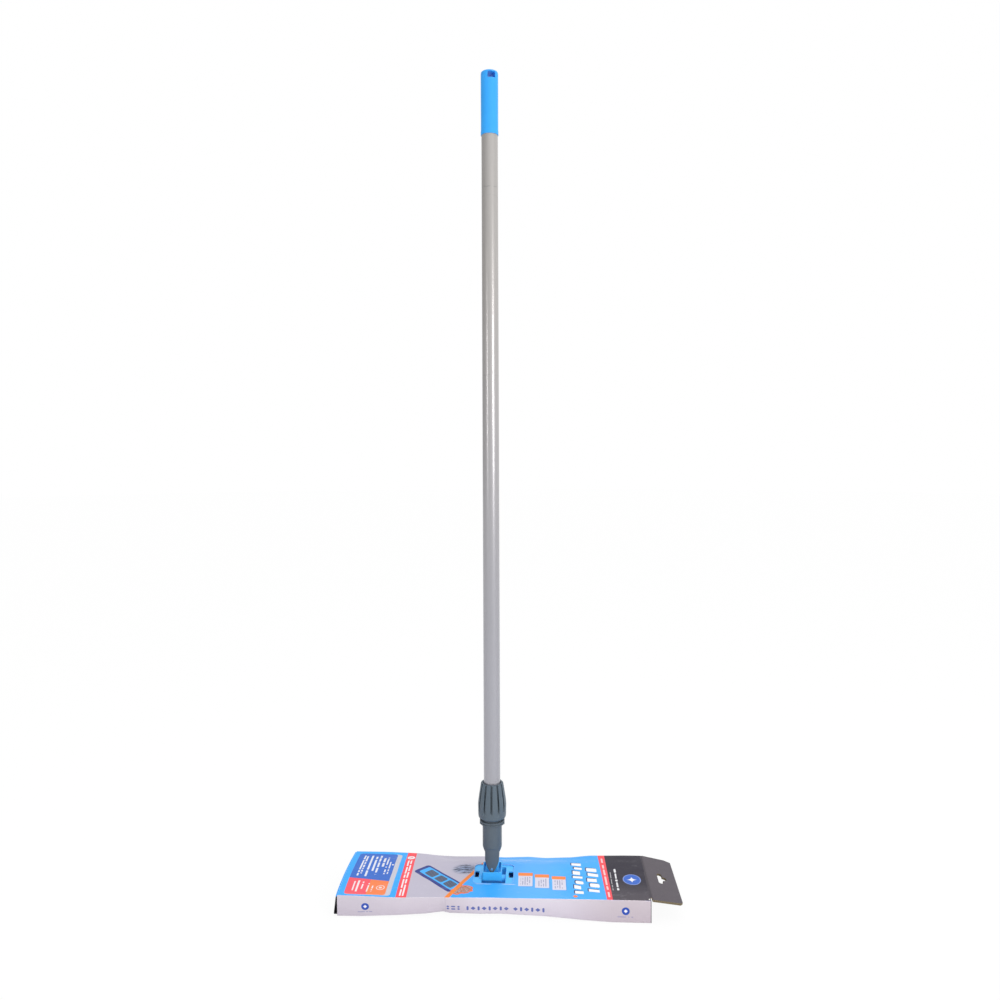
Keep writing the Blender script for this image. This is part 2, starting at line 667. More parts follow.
def wall_mark(face, kind, left, right):
    """One plain mark: an upright pill, two bars, a diamond or two dots."""
    mid = (left + right) / 2
    if kind == 0:
        return face.rect(mid - 1.5, mid + 1.5, 6.8, 14.6, radius=1.5)
    if kind == 1:
        return (face.rect(left, right, 11.9, 14.5, radius=1.2)
                | face.rect(left, right, 6.9, 9.5, radius=1.2))
    if kind == 2:
        return face.turn(mid, 10.7, 45.0).rect(-2.5, 2.5, -2.5, 2.5, radius=0.6)
    return face.disc(mid, 12.9, 1.7) | face.disc(mid, 8.5, 1.7)


def card_wall(name, crushed):
    """Front or back wall print; face's y is the height. crushed adds the fold line."""
    mat = printed(name, up_axis=2)
    x, height, face, place = mat.x, mat.y, mat.face, mat.place
    # slow changes of tone up and along the wall
    mat.colour = mat.mix(height.rise(0.0, 31.0), WALL, (0.600, 0.550, 0.622))
    mat.shade(x.rise(-200.0, -120.0), (0.93, 0.93, 0.935), NEUTRAL)
    mat.shade(x.rise(-60.0, -10.0) * x.rise(150.0, 60.0), NEUTRAL, (1.10, 1.12, 1.12))
    mat.shade(x.rise(95.0, 190.0), NEUTRAL, (0.88, 0.845, 0.82))
    # two blue roundels with a plain diamond, each over a thin caption line
    for disc_x, disc_y, left, right, line_y in ROUNDELS:
        mat.paint(face.disc(disc_x, disc_y, 5.4), (0.025, 0.075, 0.40))
        diamond = face.turn(disc_x, disc_y, 45.0).rect(-1.85, 1.85, -1.85, 1.85, radius=0.4)
        mat.paint(diamond, (0.80, 0.78, 0.85))
        gaps = mat.vector((x * 0.7).floor(), 2.0).white() > 0.22
        line = face.rect(left, right, line_y - 0.55, line_y + 0.55, radius=0.4)
        mat.paint(line * gaps, (0.12, 0.14, 0.38), strength=0.6)
    # a row of plain marks, in three groups
    marks = []
    for start, end, count in MARK_GROUPS:
        step = (end - start) / count
        for i in range(count):
            left = start + i * step + 0.8
            right = start + (i + 1) * step - 0.8
            marks.append(wall_mark(face, (i * 2 + count) % 4, left, right))
    mat.paint(union(*marks), (0.055, 0.095, 0.37), strength=0.9)
    # the charcoal of the right end comes round the corner
    end_x = RIGHT - MID_X
    mat.paint(x.rise(end_x - 1.3, end_x - 0.6), (0.05, 0.042, 0.055), strength=0.9)
    # scuffs along the folds and the crushed crease
    wear = (fold_wear(HEIGHT - height, place, width=0.9)
            | fold_wear(height, place, width=1.2))
    mat.paint(wear, (0.85, 0.82, 0.84), strength=0.5)
    if crushed:
        mat.paint(abs(x + FOLD_X).fade(0.0, 1.2), (0.40, 0.36, 0.44), strength=0.30)
    # a blue thread of misregistered print under the top fold
    thread = (HEIGHT - height).fade(0.15, 0.8) * place.noise(0.03).rise(0.45, 0.6)
    mat.paint(thread, (0.20, 0.24, 0.62), strength=0.35)
    grime = place.noise(0.045, detail=4.0, rough=0.65).rise(0.5, 0.75)
    mat.paint(grime, (0.48, 0.43, 0.50), strength=0.10)
    rough = place.noise(0.1, detail=3.0).linear(0.14, 0.36)
    return mat.finish(rough, board_bump(mat, place), spec=0.2)


def card_plain():
    mat = Material("card_plain_print")
    place = mat.rest()
    tone = place.noise(0.05, detail=4.0, rough=0.6)
    mat.colour = mat.mix(tone, (0.58, 0.53, 0.60), (0.68, 0.63, 0.70))
    speck = place.noise(1.4, rough=0.6).rise(0.66, 0.74)
    mat.paint(speck, (0.35, 0.31, 0.33), strength=0.18)
    rough = place.noise(0.3).linear(0.15, 0.45)
    return mat.finish(rough, board_bump(mat, place), spec=0.35)


def card_dark(name, base=CHARCOAL, cut_edges=False, tab_fold=False, bleed=False):
    """Dark print. cut_edges bares the board's layers on its sides, tab_fold darkens the hang
    tab's root, and bleed lets the top's blue run over the fold."""
    mat = Material(name)
    place = mat.object_mm if cut_edges else mat.rest()
    tone = place.noise(0.06, detail=4.0, rough=0.65)
    mat.colour = mat.mix(tone, scaled(base, 0.88), scaled(base, 1.16))
    scratch = (place * (0.4, 2.4, 1.0)).noise(0.5, detail=3.0, rough=0.7).rise(0.60, 0.72)
    mat.paint(scratch, (0.30, 0.28, 0.31), strength=0.22)
    rough = place.noise(0.12, detail=3.0).linear(0.18, 0.33)
    normal = board_bump(mat, place, strength=0.8)
    if bleed:
        ragged = place.noise(0.4).linear(0.6, -0.3)
        mat.paint((place.xyz()[2] + ragged).rise(27.7, 28.1), SKY)
    if cut_edges:
        # the cut edges show the kraft liners and the flutes between them
        side = abs(Signal(mat, mat.coords["Normal"]).xyz()[2]) < 0.55
        x, y, _ = place.xyz()
        flutes = (x + y).wave(3.0).rise(-0.6, 0.6)
        layers = mat.mix(flutes, (0.10, 0.078, 0.048), (0.19, 0.152, 0.092))
        layers = mat.mix(place.noise(1.2, detail=3.0) * 0.5, layers, (0.27, 0.225, 0.15))
        if tab_fold:
            mat.paint(abs(x - (RIGHT + 3.4)).fade(0.0, 1.0), (0.05, 0.045, 0.06), strength=0.25)
        mat.paint(side, layers)
        rough = mat.mix(side, rough, (0.85, 0.85, 0.85))
    return mat.finish(rough, normal, spec=0.14)


def kraft():
    mat = Material("kraft_inner")
    place = mat.rest()
    fibre = (place * (0.35, 1.0, 1.0)).noise(1.3, detail=4.0, rough=0.7)
    mat.colour = mat.mix(fibre, (0.27, 0.19, 0.105), (0.47, 0.36, 0.22))
    mat.paint(place.noise(2.0).rise(0.66, 0.72), (0.14, 0.09, 0.05), strength=0.4)
    return mat.finish(fibre.linear(0.1, 0.78), board_bump(mat, place), spec=0.2)


# ---------------------------------------------------------------- plastic, metal and cloth
def axis_distance(mat, place):
    """(distance from the pole's axis, height)."""
    x, y, z = place.xyz()
    return mat.vector(x, y).length(), z


def groove_dirt(mat, place):
    """Deeper than the collar's skin, which is straight below and tapers above."""
    radius, z = axis_distance(mat, place)
    taper = 0.1495
    cone = z.linear(-taper, 20.4 + 137.0 * taper - 0.15)
    depth = mat.math("MINIMUM", 19.95, cone) - radius
    return depth.rise(0.15, 1.1) * z.rise(119.5, 124.0) * z.rise(165.3, 164.5)


def thread_dirt(mat, place):
    """In the socket's threads, just under the collar."""
    radius, z = axis_distance(mat, place)
    return z.rise(110.9, 111.4) * z.rise(122.0, 117.0) * radius.rise(15.3, 15.0)


def plastic(name, dark, light, edge_colour, rough=0.38, grain=0.9, grain_depth=0.05,
            edge_width=0.5, spec=0.5, subsurface=0.0, streak=None, line_pitch=None, dirt=None):
    """Moulded plastic: fine grain, slow colour drift, paler rounded edges."""
    mat = Material(name)
    place = mat.object_mm
    mat.colour = mat.mix(place.noise(0.04, detail=3.0, rough=0.6), dark, light)
    rounded, edge = mat.edge(edge_width)
    broken = place.noise(0.6, detail=3.0, rough=0.7).rise(0.4, 0.62).linear(0.55, 0.25)
    mat.paint(edge * broken, edge_colour)
    if streak:
        streaks = (place * (1.0, 1.0, 0.12)).noise(0.9, detail=3.0, rough=0.7)
        mat.paint(streaks.rise(0.6, 0.74), streak, strength=0.3)
    if dirt:
        mat.paint(dirt(mat, place), (0.012, 0.018, 0.026), strength=0.62)
    height = place.noise(grain, detail=3.0, rough=0.65)
    if line_pitch:
        # low-relief mould lines around the axis
        height = height + place.xyz()[2].wave(line_pitch) * 0.5
    normal = mat.bump(height, depth=grain_depth, strength=0.6, normal=rounded)
    rough = place.noise(0.15, detail=3.0).linear(0.12, rough - 0.06)
    return mat.finish(rough, normal, spec=spec, subsurface=subsurface)


# height, half width and strength of each rubbed ring on the pole
RUBBED_RINGS = ((1031.0, 1.6, 0.34), (758.0, 0.9, 0.30), (1018.0, 1.0, 0.15))


def lacquered_tube():
    mat = Material("lacquered_steel_tube")
    place = mat.object_mm
    z = place.xyz()[2]
    drawn = (place * (1.0, 1.0, 0.02)).noise(1.6, detail=3.0, rough=0.7)
    mat.colour = mat.mix(drawn, (0.415, 0.410, 0.420), (0.475, 0.468, 0.480))
    # warmer towards the top, cooler and darker lower down
    mat.shade(z.rise(250.0, 1000.0), (0.99, 1.0, 1.05), (1.03, 1.0, 0.94))
    mat.shade(z.rise(200.0, 900.0), (0.76, 0.76, 0.78), (0.95, 0.95, 0.95))
    flakes = place.scale(5.0).floor().white() > 0.92
    mat.paint(flakes, (0.75, 0.75, 0.78), strength=0.10)
    # handling scuffs: faint rubbed rings and broken vertical scratches
    wobble = place.noise(0.12, detail=3.0) * 5.0
    for ring_z, width, strength in RUBBED_RINGS:
        ring = abs((z + wobble) - (ring_z + 2.5)).fade(0.0, width)
        broken = place.noise(0.16, detail=3.0).rise(0.42, 0.55)
        mat.paint(ring * broken, (0.16, 0.16, 0.17), strength)
    scratches = (place * (1.3, 1.3, 0.05)).noise(0.8, detail=4.0, rough=0.75).rise(0.64, 0.70)
    mat.paint(scratches, (0.66, 0.66, 0.68), strength=0.12)
    peel = place.noise(0.35)
    normal = mat.bump(peel * 0.5 + drawn * 0.25, depth=0.06)
    rough = peel.linear(0.08, 0.27) + scratches * 0.15
    return mat.finish(rough, normal, metallic=0.55, coat=0.25, coat_rough=0.16, spec=0.45)


def steel(name, base, rough):
    """Brushed bare steel with dull spots and bright edges."""
    mat = Material(name)
    place = mat.object_mm
    rounded, edge = mat.edge(0.25)
    brushed = (place * (0.2, 1.0, 1.0)).noise(4.0, detail=3.0, rough=0.7)
    mat.colour = mat.mix(brushed, scaled(base, 0.82), base)
    mat.paint(edge, (0.75, 0.75, 0.76), strength=0.4)
    spots = place.noise(0.5, detail=4.0, rough=0.7).rise(0.62, 0.74)
    mat.paint(spots, (0.28, 0.25, 0.23), strength=0.35)
    normal = mat.bump(brushed, depth=0.03, normal=rounded)
    return mat.finish(spots.linear(0.25, rough), normal, metallic=1.0)


def fabric(name, dark, light, kind, pitch=None, depth=0.25):
    """Cloth: kind is weave, rib or loops; pitch is the thread spacing of the first two."""
    mat = Material(name)
    place = mat.rest()
    if kind == "loops":
        lobes = mat.node("TexVoronoi", {"Vector": place, "Scale": 0.55}, "Distance")
        height = place.noise(0.45, detail=3.0, rough=0.7) * 0.6 - lobes
    else:
        x, y, z = place.xyz()
        if kind == "weave":
            height = x.wave(pitch) * (y + z).wave(pitch)
        else:
            height = (x + y * 1.0).wave(pitch)
    drift = place.noise(0.08, detail=3.0, rough=0.6)
    mat.colour = mat.mix((height * 0.35).math("ADD", drift, clamp=True), dark, light)
    normal = mat.bump(height, depth=depth, strength=0.8)
    return mat.finish(drift.linear(0.08, 0.85), normal, spec=0.25, sheen=0.35)


def hook_material():
    mat = Material("hook_tape")
    x, y, _ = mat.rest().xyz()
    height = x.wave(1.25) * y.wave(1.25)
    mat.colour = mat.mix(height.linear(0.3, 0.5), (0.020, 0.021, 0.024), (0.055, 0.056, 0.062))
    return mat.finish(0.6, mat.bump(height, depth=0.3, strength=0.7), spec=0.35)


def paper_fibre():
    mat = Material("paper_fibre")
    place = mat.object_mm
    mat.colour = mat.mix(place.noise(1.5, detail=3.0), (0.80, 0.78, 0.76), (0.95, 0.94, 0.93))
    return mat.finish(0.8, mat.bump(place.noise(3.0), depth=0.1))


# ---------------------------------------------------------------- mesh helpers
def link_object(name, data):
    o = bpy.data.objects.new(name, data)
    bpy.context.scene.collection.objects.link(o)
    return o


def to_object(name, verts, faces, rest, mats, face_mats=None, smooth_faces=True):
    """verts and rest are in millimetres; rest is stored for the textures."""
    mesh = bpy.data.meshes.new(name)
    mesh.from_pydata([tuple(c * MM for c in vert) for vert in verts], [], faces)
    mesh.update()
    stored = mesh.attributes.new("rest", "FLOAT_VECTOR", "POINT")
    stored.data.foreach_set("vector", [c for point in rest for c in point])
    for mat in mats:
        mesh.materials.append(mat)
    if face_mats:
        mesh.polygons.foreach_set("material_index", face_mats)
    if smooth_faces:
        mesh.polygons.foreach_set("use_smooth", [True] * len(mesh.polygons))
    mesh.update()
    return link_object(name, mesh)


def from_bmesh(name, bm, mat):
    mesh = bpy.data.meshes.new(name)
    bm.to_mesh(mesh)
    bm.free()
    mesh.materials.append(mat)
    return link_object(name, mesh)


def outward(o, is_out):
    """Recalculates normals, and flips them if is_out(centre, normal) fails for most faces."""
    bm = bmesh.new()
    bm.from_mesh(o.data)
    bmesh.ops.recalc_face_normals(bm, faces=bm.faces)
    bm.faces.ensure_lookup_table()
    score = sum(1 if is_out(face.calc_center_median(), face.normal) else -1 for face in bm.faces)
    if score < 0:
        bmesh.ops.reverse_faces(bm, faces=bm.faces)
    bm.to_mesh(o.data)
    bm.free()
    o.data.update()


def thicken(o, thickness, even=True):
    """Gives a sheet its thickness inward; the new faces take the last material."""
    solid = o.modifiers.new("board", "SOLIDIFY")
    solid.thickness = thickness * MM
    solid.offset = -1
    solid.use_even_offset = even
    solid.material_offset = solid.material_offset_rim = len(o.data.materials) - 1
    bpy.context.view_layer.update()
    graph = bpy.context.evaluated_depsgraph_get()
    mesh = bpy.data.meshes.new_from_object(o.evaluated_get(graph), preserve_all_data_layers=True,
                                           depsgraph=graph)
    o.modifiers.clear()
    o.data = mesh


def thicken_board(o, thickness):
    """Thickens, then shades smooth except over edges sharper than 50 degrees."""
    thicken(o, thickness)
    o.data.polygons.foreach_set("use_smooth", [True] * len(o.data.polygons))
    bm = bmesh.new()
    bm.from_mesh(o.data)
    limit = math.radians(50)
    for edge in bm.edges:
        if len(edge.link_faces) == 2 and edge.calc_face_angle(0) > limit:
            edge.smooth = False
    bm.to_mesh(o.data)
    bm.free()


def sheet(name, rows, columns, place, mats, thickness, is_out):
    """A board over a grid; place(row, column) gives (point, rest point)."""
    verts, rest = zip(*(place(row, column) for row in rows for column in columns))
    width = len(columns)
    faces = []
    for i in range(len(rows) - 1):
        for j in range(width - 1):
            a = i * width + j
            faces.append((a, a + width, a + width + 1, a + 1))
    o = to_object(name, verts, faces, rest, mats)
    outward(o, is_out)
    thicken_board(o, thickness)
    return o


def stations(start, end, step, must=()):
    """Values from start to end about step apart that pass through every value in must."""
    marks = sorted({start, end, *must})
    out = [marks[0]]
    for low, high in zip(marks, marks[1:]):
        count = max(1, round((high - low) / step))
        out += [low + (high - low) * (i + 1) / count for i in range(count)]
    return out


def nearest(values, target):
    return min(range(len(values)), key=lambda i: abs(values[i] - target))


def attach(o, body, replaces=None):
    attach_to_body(o, body)
    if replaces:
        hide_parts(replaces)


# ---------------------------------------------------------------- the sleeve
FOLD_RADIUS = 1.2
PATCH_X, PATCH_Y = (-42.0, 46.0), (-40.15, 45.85)   # the part of the grid the cut-out replaces
PATCH_RINGS = 6
TOP, FRONT, BACK, PLAIN, INNER = range(5)           # material slots


def sleeve_section(ys, zs):
    """The sleeve's section as (y, z, slot), from the top front over the back and under."""
    y_in = HALF_DEPTH - FOLD_RADIUS
    z_in = HEIGHT - FOLD_RADIUS
    section = [(y, HEIGHT, TOP) for y in ys]

    def corner(y, z, start, slots):
        for i, slot in enumerate(slots, 1):
            angle = math.radians(start - 90 * i / 4)
            section.append((y + FOLD_RADIUS * math.cos(angle),
                            z + FOLD_RADIUS * math.sin(angle), slot))

    corner(y_in, z_in, 90, (TOP, BACK, BACK))
    section.extend((HALF_DEPTH, z, BACK) for z in reversed(zs))
    corner(y_in, FOLD_RADIUS, 0, (PLAIN, PLAIN, PLAIN))
    section.extend((y, 0.0, PLAIN) for y in reversed(stations(-y_in, y_in, 4.0)))
    corner(-y_in, FOLD_RADIUS, -90, (FRONT, FRONT, FRONT))
    section.extend((-HALF_DEPTH, z, FRONT) for z in zs)
    corner(-y_in, z_in, 180, (FRONT, FRONT, TOP))
    return section


def to_hole(x, y):
    """The point on the cut-out's outline in line with its centre and (x, y)."""
    low, high = 0.0, 1.0
    for _ in range(40):
        mid = (low + high) / 2
        if hole_distance(HOLE_X + (x - HOLE_X) * mid, HOLE_Y + (y - HOLE_Y) * mid) > 0:
            high = mid
        else:
            low = mid
    return HOLE_X + (x - HOLE_X) * high, HOLE_Y + (y - HOLE_Y) * high


def sleeve_is_out(centre, normal):
    x, y, z = centre / MM
    if z > HEIGHT - 9 and abs(y) < HALF_DEPTH - 4:
        return normal.z > 0
    if z < 8 and abs(y) < HALF_DEPTH - 16:
        return normal.z < 0
    return normal.y * y > 0


def build_sleeve():
    xs = stations(LEFT, RIGHT, 3.0, PATCH_X)
    ys = stations(-HALF_DEPTH + FOLD_RADIUS, HALF_DEPTH - FOLD_RADIUS, 3.0, PATCH_Y)
    zs = stations(FOLD_RADIUS, HEIGHT - FOLD_RADIUS, 2.4)
    section = sleeve_section(ys, zs)
    i0, i1 = (nearest(xs, x) for x in PATCH_X)
    j0, j1 = (nearest(ys, y) for y in PATCH_Y)
    verts, rest, faces, slots = [], [], [], []
    index = {}
    for i, x in enumerate(xs):
        for j, (y, z, _) in enumerate(section):
            if i0 < i < i1 and j0 < j < j1:
                continue
            index[(i, j)] = len(verts)
            verts.append(deform(x, y, z))
            rest.append((x - MID_X, y, z))
    for i in range(len(xs) - 1):
        for j in range(len(section)):
            k = (j + 1) % len(section)
            if i0 <= i < i1 and j0 <= j < j1:
                continue
            faces.append((index[(i, j)], index[(i + 1, j)], index[(i + 1, k)], index[(i, k)]))
            slots.append(max(section[j][2], section[k][2]))

    # rings of faces between the grid and the cut-out
    border = [(i, j0) for i in range(i0, i1)] + [(i1, j) for j in range(j0, j1)]
    border += [(i, j1) for i in range(i1, i0, -1)] + [(i0, j) for j in range(j1, j0, -1)]
    previous = [index[key] for key in border]
    starts = [(xs[i], section[j][0]) for i, j in border]
    ends = [to_hole(x, y) for x, y in starts]
    for ring in range(1, PATCH_RINGS + 1):
        t = ring / PATCH_RINGS
        lip_drop = 0.25 * max(0.0, t - 0.8) / 0.2
        current = []
        for (x, y), (hole_x, hole_y) in zip(starts, ends):
            ring_x, ring_y = x + (hole_x - x) * t, y + (hole_y - y) * t
            current.append(len(verts))
            new_x, new_y, new_z = deform(ring_x, ring_y, HEIGHT)
            verts.append((new_x, new_y, new_z - lip_drop))
            rest.append((ring_x - MID_X, ring_y, HEIGHT))
        for a in range(len(current)):
            b = (a + 1) % len(current)
            faces.append((previous[a], previous[b], current[b], current[a]))
            slots.append(TOP)
        previous = current

    mats = [card_top(), card_wall("card_front_print", crushed=True),
            card_wall("card_back_print", crushed=False), card_plain(), kraft()]
    o = to_object("sleeve_board", verts, faces, rest, mats, slots)
    outward(o, sleeve_is_out)
    thicken_board(o, SLEEVE_BOARD)
    # the rims of the cut-out and of the top's left end carry the top's print
    for poly in o.data.polygons:
        if poly.material_index == INNER:
            x, y, z = poly.center / MM
            on_hole = (z > HEIGHT - 2.5 and abs(hole_distance(x, y)) < 0.6
                       and abs(poly.normal.z) < 0.6)
            on_left = x < LEFT + 2.0 and z > HEIGHT - 4.0 and abs(poly.normal.x) > 0.5
            if on_hole or on_left:
                poly.material_index = TOP
    return o


sleeve = build_sleeve()
attach(sleeve, "head", replaces="carton_sleeve")
MAT_TOP = sleeve.data.materials[TOP]
MAT_KRAFT = sleeve.data.materials[INNER]


# ---------------------------------------------------------------- right end wall
def end_wall_point(y, z):
    x, new_y, new_z = deform(RIGHT - 0.35, y, z, bumpy=False)
    bow = 0.8 * math.cos(math.pi * y / (2 * HALF_DEPTH)) * math.sin(math.pi * z / HEIGHT)
    return (x - bow, new_y, new_z), (x - MID_X, y, z)


end_wall = sheet("sleeve_end_wall", stations(-HALF_DEPTH + 1.7, HALF_DEPTH - 1.7, 5.0),
                 stations(1.65, HEIGHT - 1.65, 3.0), end_wall_point,
                 [card_dark("card_end_charcoal"), MAT_KRAFT], 1.4, lambda c, n: n.x > 0)
attach(end_wall, "head")

# ---------------------------------------------------------------- dust flaps
FLAP_ROOT, FLAP_TIP = 62.2, 20.0    # distance from mid depth
FLAP_TOP = 28.6


def dust_flap(name, hinge_x, bottom, inward, side, mats):
    """A bowed sheet turned in from a side wall; inward and side are signs along x and y."""
    mid_z = (bottom + FLAP_TOP) / 2

    def place(reach, z):
        t = (FLAP_ROOT - reach) / (FLAP_ROOT - FLAP_TIP)
        # the free corners are cut back, and the free edge leans into the carton
        cut = 3.0 * smooth((t - 0.75) / 0.25) * (z - mid_z) / 11.0
        x = hinge_x + inward * (1.6 * t * t)
        point = deform(x, side * (reach - 1.0), z - cut, bumpy=False)
        return point, (x - MID_X, side * reach, z)

    return sheet(name, stations(FLAP_TIP, FLAP_ROOT, 4.0), stations(bottom, FLAP_TOP, 3.0),
                 place, mats, 1.2, lambda c, n: n.x * inward < 0)


dust_mats = [card_plain(), MAT_KRAFT]
for end, hinge_x, bottom, inward in (("left", LEFT + 3.4, 6.4, 1), ("right", RIGHT - 5.2, 2.6, -1)):
    for side, tag in ((-1, "front"), (1, "back")):
        flap = dust_flap(f"dust_flap_{end}_{tag}", hinge_x, bottom, inward, side, dust_mats)
        stands_in = "carton_dust_flaps" if (end, tag) == ("left", "front") else None
        attach(flap, "head", replaces=stands_in)

# ---------------------------------------------------------------- end flap at the left, ajar
AJAR = math.radians(7.0)
HINGE_X, HINGE_Z = LEFT - 1.05, 30.2
BEND_X, BEND_Z, BEND_RADIUS = 0.45, 4.6, 1.2    # the bend into the tuck tongue
TONGUE_START = 15                               # first path point on the tongue


def flap_bow(y):
    return 2.1 * (1 - (y / HALF_DEPTH) ** 2)


def flap_path():
    """(x from the hinge, z) down the flap, round the bend and along the tongue."""
    path = [(BEND_X - BEND_RADIUS, 30.0 - (30.0 - BEND_Z) * i / 10) for i in range(11)]
    for i in range(1, 5):
        angle = math.radians(180 + 90 * i / 4)
        path.append((BEND_X + BEND_RADIUS * math.cos(angle),
                     BEND_Z + BEND_RADIUS * math.sin(angle)))
    path += [(BEND_X + 7.0 * i / 3, BEND_Z - BEND_RADIUS + 0.25 * i) for i in range(1, 4)]
    return path


def flap_point(step, y):
    i, (path_x, z) = step
    x = HINGE_X + path_x - flap_bow(y) * smooth((z - 4) / 26.0)
    if i >= TONGUE_START:
        # the corners of the tongue are trimmed back
        x -= smooth((abs(y) - 52) / 12.0) * 2.0 * (i - TONGUE_START + 1) / 3
    arm_x, arm_z = x - HINGE_X, z - HINGE_Z
    turned_x = arm_x * math.cos(AJAR) + arm_z * math.sin(AJAR)
    turned_z = -arm_x * math.sin(AJAR) + arm_z * math.cos(AJAR)
    drop = 0.5 if z > 29 else 0.0
    return (HINGE_X + turned_x, y, HINGE_Z + turned_z - drop), (x - MID_X, y, z)


flap_mat = card_dark("card_flap_black", base=(0.022, 0.021, 0.026), bleed=True)
end_flap = sheet("end_flap_board", list(enumerate(flap_path())),
                 stations(-HALF_DEPTH + 1.6, HALF_DEPTH - 1.6, 4.0), flap_point,
                 [flap_mat], 1.2, lambda c, n: n.x < 0)
attach(end_flap, "end_flap", replaces="carton_end_flap")


# ---------------------------------------------------------------- creases
def crease(name, y_front, y_back, profile, mats, thickness):
    """A narrow strip of bent board from the head to body; profile(y) lists its (x, z)."""
    def place(k, y):
        x, z = profile(y)[k]
        return (x, y, z), (x - MID_X, y, z)

    o = sheet(name, range(len(profile(0.0))), stations(y_front, y_back, 3.0), place, mats,
              thickness, lambda c, n: n.z > 0)
    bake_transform(o)


def left_profile(y):
    x, _, top = deform(LEFT + 0.6, y, HEIGHT)
    flap_x = LEFT - 1.75 - flap_bow(y)
    return [(x + 0.5, top - 1.15), (x - 0.9, top - 1.2), (flap_x + 0.75, top - 1.5),
            (flap_x + 0.2, 29.2), (flap_x - 0.05, 28.2)]


def tab_profile(y):
    top = deform(RIGHT - 0.3, y, HEIGHT, bumpy=False)[2]
    return [(RIGHT - 0.9, top + 0.02), (RIGHT - 0.1, top + 0.03), (RIGHT + 0.9, top - 0.02),
            (RIGHT + 1.9, top - 0.14), (RIGHT + 3.0, top - 0.32)]


crease("end_flap_crease", -HALF_DEPTH + 1.8, HALF_DEPTH - 1.8, left_profile,
       [MAT_TOP], thickness=0.5)
tab_mat = card_dark("card_tab_charcoal", base=(0.092, 0.080, 0.094), cut_edges=True, tab_fold=True)
crease_mat = card_dark("card_crease_charcoal", base=(0.060, 0.052, 0.064))
crease("hang_tab_crease", -57.3, 63.6, tab_profile, [crease_mat, MAT_KRAFT],
       thickness=0.9)


def build_tuft():
    """Torn white fibres where the front end of the hang tab's crease has split."""
    bm = bmesh.new()
    for k in range(7):
        angle = k * 0.9
        base = Vector((RIGHT - 2.9 + 0.5 * (k % 3), -62.6 + 0.5 * (k % 2), 30.7))
        tip = base + Vector((0.8 * math.cos(angle), 1.1 * math.sin(angle) - 0.4,
                             1.1 + 0.4 * math.sin(2 * angle)))
        side = Vector((0.55 * math.sin(angle), -0.55 * math.cos(angle), 0.1))
        corners = (base + side, base - side, tip - side * 0.7, tip + side * 0.7)
        bm.faces.new([bm.verts.new(corner * MM) for corner in corners])
    o = from_bmesh("torn_fibre", bm, paper_fibre())
    thicken(o, 0.25, even=False)
    return o


attach(build_tuft(), "head")

# ---------------------------------------------------------------- the pad
PAD_X = 2.6


def pad_push(x, y):
    """(how far the leaning front wall pushes the pad back, how much its edge curls up)."""
    lean = table(x - MID_X, LEAN, eased=False)
    return 6.48 * lean * smooth((-y - 20) / 30.0), lean * smooth((-y - 46) / 10.0)


def round_rect_point(a, b, half_x, half_y, radius):
    """(a, b) in [-1, 1]^2 to a rectangle with rounded corners."""
    x, y = a * half_x, b * half_y
    over_x, over_y = abs(x) - (half_x - radius), abs(y) - (half_y - radius)
    if over_x > 0 and over_y > 0:
        over_x, over_y = over_x / radius, over_y / radius
        round_x = over_x * math.sqrt(1 - over_y * over_y / 2)
        round_y = over_y * math.sqrt(1 - over_x * over_x / 2)
        x = math.copysign(half_x - radius + round_x * radius, x)
        y = math.copysign(half_y - radius + round_y * radius, y)
    return x, y


def slab(name, half_x, half_y, radius, bottom, top, step, soft_edge, relief, cell, mat):
    """A closed padded slab: sides rounded over soft_edge, lumps relief high and cell wide."""
    count_x, count_y = max(4, int(2 * half_x / step)), max(4, int(2 * half_y / step))
    mid_z, half_z = (bottom + top) / 2, (top - bottom) / 2
    verts, rest, faces = [], [], []
    index = {}
    for side in (1, -1):
        for i in range(count_x + 1):
            for j in range(count_y + 1):
                if side == -1 and (i in (0, count_x) or j in (0, count_y)):
                    # both faces share the rim
                    index[(side, i, j)] = index[(1, i, j)]
                    continue
                a, b = -1 + 2 * i / count_x, -1 + 2 * j / count_y
                x, y = round_rect_point(a, b, half_x, half_y, radius)
                inset = min(half_x - abs(a * half_x), half_y - abs(b * half_y))
                full = math.sqrt(max(0.0, 1 - (1 - clamp01(inset / soft_edge)) ** 2))
                lump = noise.noise(Vector((x / cell, y / cell, 4.0 * side)))
                z = mid_z + side * (half_z * full + relief * full * (lump - 0.5))
                push, curl = pad_push(PAD_X + x, y)
                lift = 0.9 * curl * (1 if side < 0 else 0.4)
                index[(side, i, j)] = len(verts)
                verts.append((PAD_X + x, y + push, z + lift))
                rest.append((PAD_X + x, y, z))
        for i in range(count_x):
            for j in range(count_y):
                ring = ((i, j), (i + 1, j), (i + 1, j + 1), (i, j + 1))
                quad = [index[(side, *key)] for key in ring]
                faces.append(quad if side > 0 else quad[::-1])
    return to_object(name, verts, faces, rest, [mat])


pile = slab("pad_pile_loops", 203.5, 55.6, 10.0, bottom=1.75, top=9.15,
            step=2.2, soft_edge=4.0, relief=1.1, cell=3.2,
            mat=fabric("pile_loops", (0.018, 0.028, 0.11), (0.06, 0.10, 0.36), "loops", depth=0.9))
attach(pile, "head", replaces="pad_pile")
backing = slab("pad_backing_cloth", 204.2, 56.2, 10.0, bottom=9.35, top=10.6, step=5.0,
               soft_edge=1.2, relief=0.15, cell=30.0,
               mat=fabric("backing_cloth", (0.50, 0.51, 0.53), (0.66, 0.67, 0.69), "weave", 1.1))
attach(backing, "head", replaces="pad_backing")

